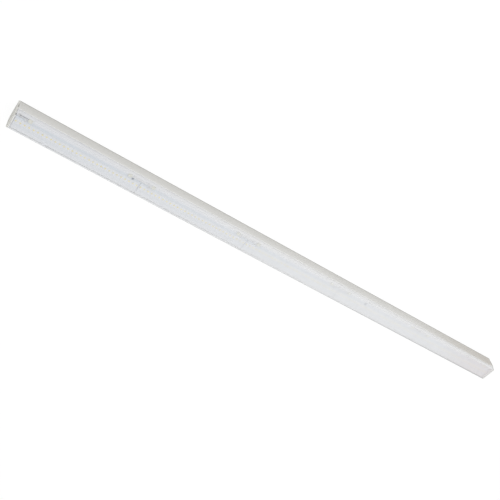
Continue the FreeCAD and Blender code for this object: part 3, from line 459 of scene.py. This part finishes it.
earthLook = {"green": (0.10, 0.30, 0.05), "yellow": (0.72, 0.60, 0.05), "turnsX": 90.0, "turnsZ": 160.0,
             "stripe": (0.19, 0.21), "wornAndShaded": (0.4, 0.4, 0.3), "wornShare": 0.15,
             "grain": 3000.0, "cloud": 60.0, "rough": (0.32, 0.45)}


def makeEarthFinish(look):
    material, tree, shader = newFinish("earthInsulation")
    grain = useGroup(tree, grainGroup, Scale=look["grain"], Cloud=look["cloud"])
    axes = axesOf(tree, objectPlace(tree))
    upward = calc(tree, "MULTIPLY", axes["Z"], look["turnsZ"])
    twist = calc(tree, "MULTIPLY_ADD", axes["X"], look["turnsX"], upward)
    stripe = fall(tree, fromMiddle(tree, twist), *look["stripe"])
    tone = mixColour(tree, stripe, look["green"], look["yellow"])
    tone = mixColour(tree, calc(tree, "MULTIPLY", grain["Mask"], look["wornShare"]), tone, look["wornAndShaded"])
    tree.links.new(tone, shader.inputs["Base Color"])
    tree.links.new(spread(tree, grain["Mask"], 0.0, 1.0, *look["rough"]), shader.inputs["Roughness"])
    return material


finishes["clearCover"] = makeCoverFinish(coverLook)
finishes["boardMask"] = makeBoardFinish(boardLook)
finishes["earthInsulation"] = makeEarthFinish(earthLook)
print("finishes built:", len(finishes))


# the carried nodes get their finishes

plainNodes = {"housing": "housingPaint", "cover": "clearCover", "cable_grommet": "grommetRubber",
              "gear_tray": "trayPaint", "driver": "driverCase", "terminal_block": "terminalPlastic",
              "clamp_screws": "zincSteel", "gear_screws": "zincSteel", "live_wire": "liveInsulation",
              "neutral_wire": "neutralInsulation", "earth_lug": "tinnedBrass",
              "earth_wire": "earthInsulation"}
for number in boards:
    plainNodes["led_board_%d" % number] = "boardMask"
for node, finish in plainNodes.items():
    nodes[node].data.materials.clear()
    nodes[node].data.materials.append(finishes[finish])
print("carried nodes dressed:", len(plainNodes))


# mesh helpers

def roundedLoop(halfX, halfY, corner, steps=3):
    points = []
    for quarter, (signX, signY) in enumerate(((1, 1), (-1, 1), (-1, -1), (1, -1))):
        for step in range(steps + 1):
            angle = math.radians(90) * (quarter + step / steps)
            points.append((signX * (halfX - corner) + corner * math.cos(angle),
                           signY * (halfY - corner) + corner * math.sin(angle)))
    return points


def ringLoop(radius, sides=28):
    return [(radius * math.cos(2 * math.pi * i / sides), radius * math.sin(2 * math.pi * i / sides))
            for i in range(sides)]


def joinRows(bm, below, above, slot):
    count = len(below)
    for i in range(count):
        j = (i + 1) % count
        bm.faces.new((below[i], below[j], above[j], above[i])).material_index = slot


def addShell(bm, loops, slots=None, capFirst=None, capLast=None, place=Matrix()):
    # loops are (points, height); slots give each band its material number
    rows = [[bm.verts.new(place @ Vector((x, y, z))) for x, y in points] for points, z in loops]
    for below, above, slot in zip(rows, rows[1:], slots or [0] * len(rows)):
        joinRows(bm, below, above, slot)
    if capFirst is not None:
        bm.faces.new(list(reversed(rows[0]))).material_index = capFirst
    if capLast is not None:
        bm.faces.new(rows[-1]).material_index = capLast


def addPrism(bm, section, ends, slot=0):
    # the section's points are (x, z); the ends are its two places in Y
    rows = [[bm.verts.new((x, y, z)) for x, z in section] for y in ends]
    joinRows(bm, *rows, slot)
    for row in rows:
        bm.faces.new(row).material_index = slot


def addBox(bm, centre, size):
    bmesh.ops.create_cube(bm, size=1.0, matrix=Matrix.Translation(centre) @ Matrix.Diagonal((*size, 1.0)))


def smoothed(mesh, angle=30):
    mesh.shade_smooth()
    mesh.set_sharp_from_angle(angle=math.radians(angle))
    return mesh


def toMesh(bm, name):
    bmesh.ops.recalc_face_normals(bm, faces=bm.faces)
    mesh = bpy.data.meshes.new(name)
    bm.to_mesh(mesh)
    bm.free()
    return mesh


def finishMesh(bm, name, angle=30):
    return smoothed(toMesh(bm, name), angle)


def joinCopies(parts, name):
    # parts are (mesh, matrix)
    bm = bmesh.new()
    for unit, place in parts:
        part = unit.copy()
        part.transform(place)
        bm.from_mesh(part)
        bpy.data.meshes.remove(part)
    return toMesh(bm, name)


def addObject(name, data):
    obj = bpy.data.objects.new(name, data)
    bpy.context.scene.collection.objects.link(obj)
    return obj


def bake(holder):
    bpy.context.view_layer.update()
    return bpy.data.meshes.new_from_object(holder.evaluated_get(bpy.context.evaluated_depsgraph_get()))


def carve(body, tool):
    holder, cutter = (addObject(mesh.name, mesh) for mesh in (body, tool))
    cut = holder.modifiers.new("carve", "BOOLEAN")
    cut.object = cutter
    cut.operation = "DIFFERENCE"
    cut.solver = "EXACT"
    made = bake(holder)
    bpy.data.objects.remove(holder)
    bpy.data.objects.remove(cutter)
    return made


def showPiece(name, mesh, finishNames, stoodFor):
    for finish in finishNames:
        mesh.materials.append(finishes[finish])
    piece = addObject(name, mesh)
    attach(piece, "root")
    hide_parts(*stoodFor)


# end caps: ribs down the face and over the rim, a deeper tongue with a notch, recesses at the sides

def makeRibbedCap(node, side, shape, finish):
    size = metres(shape)
    low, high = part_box(node)
    outer = high.x if side > 0 else low.x
    bm = bmesh.new()
    bm.from_mesh(nodes[node].data)
    bmesh.ops.remove_doubles(bm, verts=bm.verts, dist=size["weld"])
    # the tongue under the cover reaches nearly to the tray
    for vert in bm.verts:
        if abs(outer - side * size["tongueAt"] - vert.co.x) < size["pick"]:
            vert.co.x = outer - side * size["tongueTo"]
    body = finishMesh(bm, node + "Body")
    deep, rim = size["deep"], size["rim"]
    slope = size["bevel"] + deep * (math.sqrt(2) - 1)  # where the groove's floor leaves the face
    groove = [(-deep, ribBase), (deep, ribBase), (deep, high.z - slope), (slope, high.z - deep),
              (rim, high.z - deep), (rim, high.z + deep), (-deep, high.z + deep)]
    section = [(outer - side * inward, z) for inward, z in groove]
    cutter = bmesh.new()
    for number in range(shape["count"]):
        middle = (number - (shape["count"] - 1) / 2) * size["pitch"]
        addPrism(cutter, section, (middle - size["half"], middle + size["half"]))
    # a notch in the tongue, through which the dark inside shows
    inward, across, down = size["notchAt"]
    addBox(cutter, (outer - side * inward, -side * across, high.z - down), size["notch"])
    # a shallow recess on each long side, at the joint with the channel
    inward, up = size["recessAt"]
    for edge in (low.y, high.y):
        addBox(cutter, (outer - side * inward, edge, up), size["recess"])
    mesh = smoothed(carve(body, finishMesh(cutter, node + "Tool")))
    showPiece("ribbed_" + node, mesh, [finish], [node])


for node, side, finish in (("end_cap_near", -1, "capPlastic"), ("end_cap_far", 1, "capPlasticShaded")):
    makeRibbedCap(node, side, capShape, finish)
print("end caps carved")


# LED packages: white body, phosphor in its cup, a soldered tab at each end

ledShape = {"halfX": ledRow["long"] / 2, "halfY": 1.4, "height": 0.7, "stand": 0.06, "bevel": 0.06,
            "corner": 0.1, "rim": 0.27, "lip": 0.04, "slope": 0.06, "cupCorner": 0.34, "fill": 0.6,
            "dip": 0.035, "dipIn": 0.3, "dipCorner": 0.3, "tabOut": 0.14, "tabIn": 0.5, "tabHalf": 1.0,
            "tabUp": 0.3, "tabToe": 0.05, "tabLean": 0.03}


def makeLed(shape):
    size = metres(shape)
    halfX, top, bevel = size["halfX"], size["height"], size["bevel"]
    rim, lip, fill = size["rim"], size["lip"], size["fill"]
    edge = halfX - size["tabOut"]

    def loop(inset, corner):
        return roundedLoop(edge - inset, size["halfY"] - inset, corner)

    bm = bmesh.new()
    addShell(bm, [
        (loop(0.0, size["corner"]), size["stand"]),
        (loop(0.0, size["corner"]), top - bevel),
        (loop(bevel, size["corner"]), top),
        (loop(rim - lip, size["cupCorner"]), top),
        (loop(rim, size["cupCorner"]), top - lip),
        (loop(rim + size["slope"], size["cupCorner"]), fill),
        (loop(rim + size["dipIn"], size["dipCorner"]), fill - size["dip"]),
    ], [0, 0, 0, 0, 0, 1], capFirst=0, capLast=1)
    heel = edge - size["tabIn"]
    tab = [(heel, 0.0), (halfX, 0.0), (halfX, size["tabToe"]), (edge + size["tabLean"], size["tabUp"]),
           (heel, size["tabUp"])]
    for side in (1, -1):
        addPrism(bm, [(side * x, z) for x, z in tab], (-size["tabHalf"], size["tabHalf"]), 2)
    return finishMesh(bm, "ledUnit")


ledUnit = makeLed(ledShape)
for number in boards:
    low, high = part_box("leds_%d" % number)
    first, step = low.x + ledShape["halfX"] * mm, ledStep(number)
    parts = [(ledUnit, Matrix.Translation((first + step * i, (low.y + high.y) / 2, low.z)))
             for i in range(ledRow["count"])]
    mesh = joinCopies(parts, "ledRow%d" % number)
    showPiece("led_row_%d" % number, mesh, ["ledBody", "ledPhosphor", "solderTin"],
              ["leds_%d" % number])
print("LED rows placed")


# push-in connectors: bevelled body, a collar around each wire, release buttons on top

# a button's steps are (outward, corner, height above the body), from its frame to its top
connectorShape = {"length": 7.0, "width": 5.9, "height": 2.1, "bevel": 0.18, "rearUp": 1.512, "rearIn": 0.7,
                  "frontIn": 0.55, "frontDown": 0.45, "socketUp": 1.0, "socketR": 0.66, "collarR": 0.92,
                  "collarOut": 0.03, "collarIn": 0.004, "buttonX": 3.4, "buttonHalf": (1.0, 0.62),
                  "buttonSteps": ((0.16, 0.2, -0.01), (0.16, 0.2, 0.018), (0.0, 0.15, 0.018),
                                  (0.0, 0.15, 0.026), (-0.1, 0.12, 0.03))}


def makeConnector(shape, lines):
    # the wires come in from the low X side; lines are the wires' places across the body
    size = metres(shape)
    length, half, top = size["length"], size["width"] / 2, size["height"]
    bm = bmesh.new()
    addPrism(bm, [(0.0, 0.0), (length, 0.0), (length, size["rearUp"]), (length - size["rearIn"], top),
                  (size["frontIn"], top), (0.0, top - size["frontDown"])], (-half, half))
    bmesh.ops.bevel(bm, geom=list(bm.edges), offset=size["bevel"], segments=2, affect="EDGES", profile=0.6)
    wide, narrow = (ringLoop(size[key], 20) for key in ("collarR", "socketR"))
    collar = [(wide, size["collarIn"]), (wide, -size["collarOut"]), (narrow, -size["collarOut"]),
              (narrow, size["collarIn"])]
    halfX, halfY = size["buttonHalf"]
    button = [(roundedLoop(halfX + out, halfY + out, corner), up) for out, corner, up in size["buttonSteps"]]
    aim = Matrix.Rotation(math.radians(90), 4, "Y")
    for line in lines:
        addShell(bm, collar, place=Matrix.Translation((0, line, size["socketUp"])) @ aim)
        addShell(bm, button, [0, 0, 1, 1], capLast=1, place=Matrix.Translation((size["buttonX"], line, top)))
    return finishMesh(bm, "connectorUnit")


wireLow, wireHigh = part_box("jumper_wires_1")
wireR = (wireHigh.z - wireLow.z) / 2
wireLines = [wireLow.y + wireR, wireHigh.y - wireR]
wireUp = (wireLow.z + wireHigh.z) / 2
turned = Matrix.Rotation(math.radians(180), 4, "Z") @ Matrix.Scale(-1, 4, (0, 1, 0))
for number in boards:
    low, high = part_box("board_connectors_%d" % number)
    middle = (low.y + high.y) / 2
    unit = makeConnector(connectorShape, [line - middle for line in wireLines])
    near = Matrix.Translation((low.x, middle, low.z))
    far = Matrix.Translation((high.x, middle, low.z)) @ turned
    mesh = joinCopies([(unit, near), (unit, far)], "connectorPair%d" % number)
    showPiece("connector_pair_%d" % number, mesh, ["connectorPlastic", "connectorButton"],
              ["board_connectors_%d" % number])
print("connectors placed")


# wires: round insulation along a smooth line

def makeTube(name, routes, radius, finish, stoodFor):
    bm = bmesh.new()
    for route in routes:
        curve = bpy.data.curves.new(name, "CURVE")
        curve.dimensions = "3D"
        spline = curve.splines.new("NURBS")
        spline.points.add(len(route) - 1)
        for knot, place in zip(spline.points, route):
            knot.co = (*place, 1.0)
        spline.order_u = 3
        spline.use_endpoint_u = True
        curve.resolution_u = 10
        curve.bevel_depth = radius
        curve.bevel_resolution = 3
        curve.use_fill_caps = True
        holder = addObject(name, curve)
        part = bake(holder)
        bm.from_mesh(part)
        bpy.data.objects.remove(holder)
        bpy.data.curves.remove(curve)
        bpy.data.meshes.remove(part)
    showPiece(name, finishMesh(bm, name, 50), [finish], stoodFor)


# a knot is (part of the span, share of the slack, lift); slack and lift are in millimetres
jumperShape = {"slack": (0.25, -0.18, 0.3, -0.22),
               "knots": ((0.0, 0.0, 0.0), (0.09, 0.0, 0.0), (0.3, 0.6, -0.2), (0.5, 1.0, -0.25),
                         (0.7, 0.6, -0.2), (0.91, 0.0, 0.0), (1.0, 0.0, 0.0))}
for number, slack in enumerate(jumperShape["slack"], start=1):
    low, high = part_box("jumper_wires_%d" % number)
    span = high.x - low.x
    routes = [[(low.x + span * part, line + bend * share * mm, wireUp + lift * mm)
               for part, share, lift in jumperShape["knots"]]
              for line, bend in zip(wireLines, (slack, -slack))]
    makeTube("jumper_pair_%d" % number, routes, wireR, "jumperInsulation",
             ["jumper_wires_%d" % number])

leadShape = {"exit": (0.0, 12.0, 24.0), "cross": (36.0, 48.0), "run": (60.0, 12.0, 4.0), "climb": (0.4, 4.0),
             "turn": (4.0, 0.0), "over": (4.2, 11.0), "plugIn": 2.5}


def leadRoute(low, high, shape):
    # from the driver along the tray's underside, up through the bushing and into the first connector
    size = metres(shape)
    exitLine, line = low.y + wireR, high.y - wireR
    corner, run, top = low.x + wireR, low.z + wireR, high.z - wireR
    route = [(high.x - back, exitLine, run) for back in size["exit"]]
    route += [(high.x - back, line, run) for back in size["cross"]]
    route += [(corner + ahead, line, run) for ahead in size["run"]]
    route += [(corner, line, run + up) for up in size["climb"]]
    route += [(corner, line, top - down) for down in size["turn"]]
    route += [(corner + ahead, line, top) for ahead in size["over"]]
    return route + [(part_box("board_connectors_1")[0].x + size["plugIn"], line, top)]


for label, shade in (("positive", "leadInsulation"), ("negative", "jumperInsulation")):
    low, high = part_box("lead_wire_" + label)
    makeTube("lead_" + label, [leadRoute(low, high, leadShape)], wireR, shade,
             ["lead_wire_" + label])

# bushing: rounded flange, and a thin lip that closes around the leads
bushingShape = {"flange": 0.5, "corner": 0.8, "edge": 0.15, "softIn": 0.06, "softDown": 0.045,
                "sleeveIn": 0.6, "sleeveCorner": 0.3, "rimIn": 0.75, "rimCorner": 0.4,
                "lipIn": 1.0, "lipDown": 0.3, "lipCorner": 0.3}


def makeBushing(shape):
    size = metres(shape)
    low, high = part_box("wire_bushing")
    middle = (low + high) / 2
    halfX, halfY = high.x - middle.x, high.y - middle.y
    under = high.z - size["flange"]

    def loop(inset, corner):
        points = roundedLoop(halfX - inset, halfY - inset, corner, 5)
        return [(x + middle.x, y + middle.y) for x, y in points]

    bm = bmesh.new()
    addShell(bm, [
        (loop(size["sleeveIn"], size["sleeveCorner"]), low.z),
        (loop(size["sleeveIn"], size["sleeveCorner"]), under),
        (loop(0.0, size["corner"]), under),
        (loop(0.0, size["corner"]), high.z - size["edge"]),
        (loop(size["softIn"], size["corner"]), high.z - size["softDown"]),
        (loop(size["edge"], size["corner"]), high.z),
        (loop(size["rimIn"], size["rimCorner"]), high.z),
        (loop(size["lipIn"], size["lipCorner"]), high.z - size["lipDown"]),
    ], capFirst=0, capLast=0)
    showPiece("lead_bushing", finishMesh(bm, "leadBushing"), ["bushingPlastic"],
              ["wire_bushing"])


makeBushing(bushingShape)
print("wires placed")


# screws with a cross recess

recessTaper = (0.55, 0.8)


def makeScrew(profile, recess, name):
    # profile is (radius, height) from the tip up to the head's top
    rings, size = metres(profile), metres(recess)
    bm = bmesh.new()
    addShell(bm, [(ringLoop(radius), z) for radius, z in rings], capFirst=0, capLast=0)
    head = finishMesh(bm, name)
    arm, half, top = size["arm"], size["half"], rings[-1][1]
    plus = [(arm, half), (half, half), (half, arm), (-half, arm), (-half, half), (-arm, half),
            (-arm, -half), (-half, -half), (-half, -arm), (half, -arm), (half, -half), (arm, -half)]
    floor = [(x * recessTaper[0], y * recessTaper[1]) for x, y in plus]
    cutter = bmesh.new()
    addShell(cutter, [(floor, top - size["deep"]), (plus, top + size["skin"]), (plus, top + size["over"])],
             capFirst=0, capLast=0)
    return carve(head, finishMesh(cutter, name + "Tool"))


# spins are in degrees, for each board and for its second screw
panScrew = {"profile": [(0.4, -4.0), (1.1, -3.4), (1.12, 0.0), (2.15, 0.0), (2.2, 0.12), (2.12, 0.75),
                        (1.8, 1.22), (1.3, 1.44), (0.9, 1.5)],
            "recess": {"arm": 1.15, "half": 0.22, "deep": 0.85, "skin": 0.001, "over": 0.3},
            "headFrom": 3, "inset": 16.0, "spin": (23, 41), "darkAt": 1, "loneAt": 74.0, "loneWide": 1.4}
panUnit = smoothed(makeScrew(panScrew["profile"], panScrew["recess"], "panScrew"))
low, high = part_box("board_screws")
screwLine = (low.y + high.y) / 2
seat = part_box("led_board_1")[1].z
parts = []
for number in boards:
    boardLow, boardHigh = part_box("led_board_%d" % number)
    inset = panScrew["inset"] * mm
    for i, spot in enumerate((boardLow.x + inset, boardHigh.x - inset)):
        spin = math.radians(panScrew["spin"][0] * number + panScrew["spin"][1] * i)
        place = Matrix.Translation((spot, screwLine, seat)) @ Matrix.Rotation(spin, 4, "Z")
        parts.append((panUnit, place))
# a wider head by itself on the fourth board
headUnit = makeScrew(panScrew["profile"][panScrew["headFrom"]:], panScrew["recess"], "panHead")
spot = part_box("led_board_4")[0].x + panScrew["loneAt"] * mm
wider = Matrix.Diagonal((panScrew["loneWide"], panScrew["loneWide"], 1.0, 1.0))
lone = (headUnit, Matrix.Translation((spot, screwLine, seat)) @ wider)
screws = joinCopies([*parts, lone], "boardScrewSet")
# that head and the screw at the first joint get a painted dark reflection, as a dark steel colour
perScrew = len(panUnit.polygons)
darkFrom = panScrew["darkAt"] * perScrew
for face in (*screws.polygons[darkFrom:darkFrom + perScrew], *screws.polygons[len(parts) * perScrew:]):
    face.material_index = 1
showPiece("board_screw_set", screws, ["zincSteel", "darkReflectionSteel"], ["board_screws"])

# spins are in degrees, for the second screw of an end and for the end
flatScrew = {"profile": [(0.4, -12.0), (1.15, -11.2), (1.2, -1.45), (2.55, -0.12), (2.62, -0.05), (2.6, 0.0)],
             "recess": {"arm": 1.5, "half": 0.3, "deep": 1.1, "skin": 0.001, "over": 0.3},
             "lineIn": 2.65, "spin": (37, 20)}
flatUnit = smoothed(makeScrew(flatScrew["profile"], flatScrew["recess"], "flatScrew"))
low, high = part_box("end_cap_screws")
portLine, portUp = high.y - flatScrew["lineIn"] * mm, (low.z + high.z) / 2
parts = []
for side, end in ((-1, low.x), (1, high.x)):
    aim = Matrix.Rotation(math.radians(90 * side), 4, "Y")
    for i, across in enumerate((-portLine, portLine)):
        spin = math.radians(flatScrew["spin"][0] * i + flatScrew["spin"][1] * side)
        place = Matrix.Translation((end, across, portUp)) @ aim @ Matrix.Rotation(spin, 4, "Z")
        parts.append((flatUnit, place))
showPiece("cap_screw_set", joinCopies(parts, "capScrewSet"), ["zincSteel"], ["end_cap_screws"])
print("screws placed")


# floor, light and camera

stageLook = {"floor": 12.0, "floorDown": 0.0002, "cloud": 3.0, "cloudDetail": 2.0, "bounce": 0.7,
             "bounceLess": 0.98, "glow": 0.9, "cast": 0.13, "sky": 0.75, "lamp": 6.0, "lampSize": 1.2,
             "lampAt": (0.12, 0.7, 1.3)}


def seenMask(tree):
    # what meets the eye straight, by a reflection or through something clear
    path = addNode(tree, "ShaderNodeLightPath").outputs
    seen = calc(tree, "MAXIMUM", path["Is Camera Ray"], path["Is Glossy Ray"])
    return calc(tree, "MAXIMUM", seen, path["Is Transmission Ray"])


def makeFloor(look):
    material = bpy.data.materials.new("paleFloor")
    material.use_nodes = True
    tree = material.node_tree
    tree.nodes.clear()
    seen = seenMask(tree)
    cloud = noise(tree, objectPlace(tree), look["cloud"], look["cloudDetail"])
    pale = mixColour(tree, cloud, (look["bounce"],) * 3, (look["bounce"] * look["bounceLess"],) * 3)
    plain = addNode(tree, "ShaderNodeBsdfDiffuse", {"Color": pale}).outputs[0]
    glow = addNode(tree, "ShaderNodeEmission", {"Strength": look["glow"]}).outputs[0]
    cast = addNode(tree, "ShaderNodeBsdfDiffuse", {"Color": (look["cast"],) * 3 + (1.0,)}).outputs[0]
    white = addNode(tree, "ShaderNodeAddShader", {0: glow, 1: cast}).outputs[0]
    both = addNode(tree, "ShaderNodeMixShader", {0: seen, 1: plain, 2: white}).outputs[0]
    addNode(tree, "ShaderNodeOutputMaterial", {"Surface": both})
    bm = bmesh.new()
    bmesh.ops.create_grid(bm, x_segments=8, y_segments=8, size=look["floor"])
    mesh = bpy.data.meshes.new("floor")
    bm.to_mesh(mesh)
    bm.free()
    mesh.materials.append(material)
    floor = addObject("floor", mesh)
    floor.location.z = -look["floorDown"]


def makeLights(look):
    world = bpy.data.worlds.new("studio")
    bpy.context.scene.world = world
    world.use_nodes = True
    tree = world.node_tree
    tree.nodes.clear()
    strength = spread(tree, seenMask(tree), 0.0, 1.0, look["sky"], 1.0)
    back = addNode(tree, "ShaderNodeBackground", {"Color": (1, 1, 1, 1), "Strength": strength}).outputs[0]
    addNode(tree, "ShaderNodeOutputWorld", {"Surface": back})
    lamp = bpy.data.lights.new("softbox", "AREA")
    lamp.shape = "SQUARE"
    lamp.size = look["lampSize"]
    lamp.energy = look["lamp"]
    softbox = addObject("softbox", lamp)
    softbox.location = look["lampAt"]
    softbox.rotation_mode = "QUATERNION"
    softbox.rotation_quaternion = (-softbox.location).to_track_quat("-Z", "Y")


makeFloor(stageLook)
makeLights(stageLook)

# angles are in degrees
cameraLook = {"lens": 50.49, "sensor": 36.0, "place": (-0.6826, 0.6079, 1.1095),
              "yaw": -46.629, "pitch": -51.815, "roll": 171.441}


def makeCamera(look):
    camera = addObject("camera", bpy.data.cameras.new("camera"))
    camera.data.sensor_width = look["sensor"]
    camera.data.lens = look["lens"]
    yaw, pitch, roll = (math.radians(look[key]) for key in ("yaw", "pitch", "roll"))
    ahead = Vector((math.cos(pitch) * math.cos(yaw), math.cos(pitch) * math.sin(yaw), math.sin(pitch)))
    camera.location = look["place"]
    camera.rotation_mode = "QUATERNION"
    camera.rotation_quaternion = ahead.to_track_quat("-Z", "Y") @ Quaternion((0, 0, 1), roll)
    bpy.context.scene.camera = camera


makeCamera(cameraLook)
bpy.context.scene.view_settings.view_transform = "Standard"
print("stage and camera set")
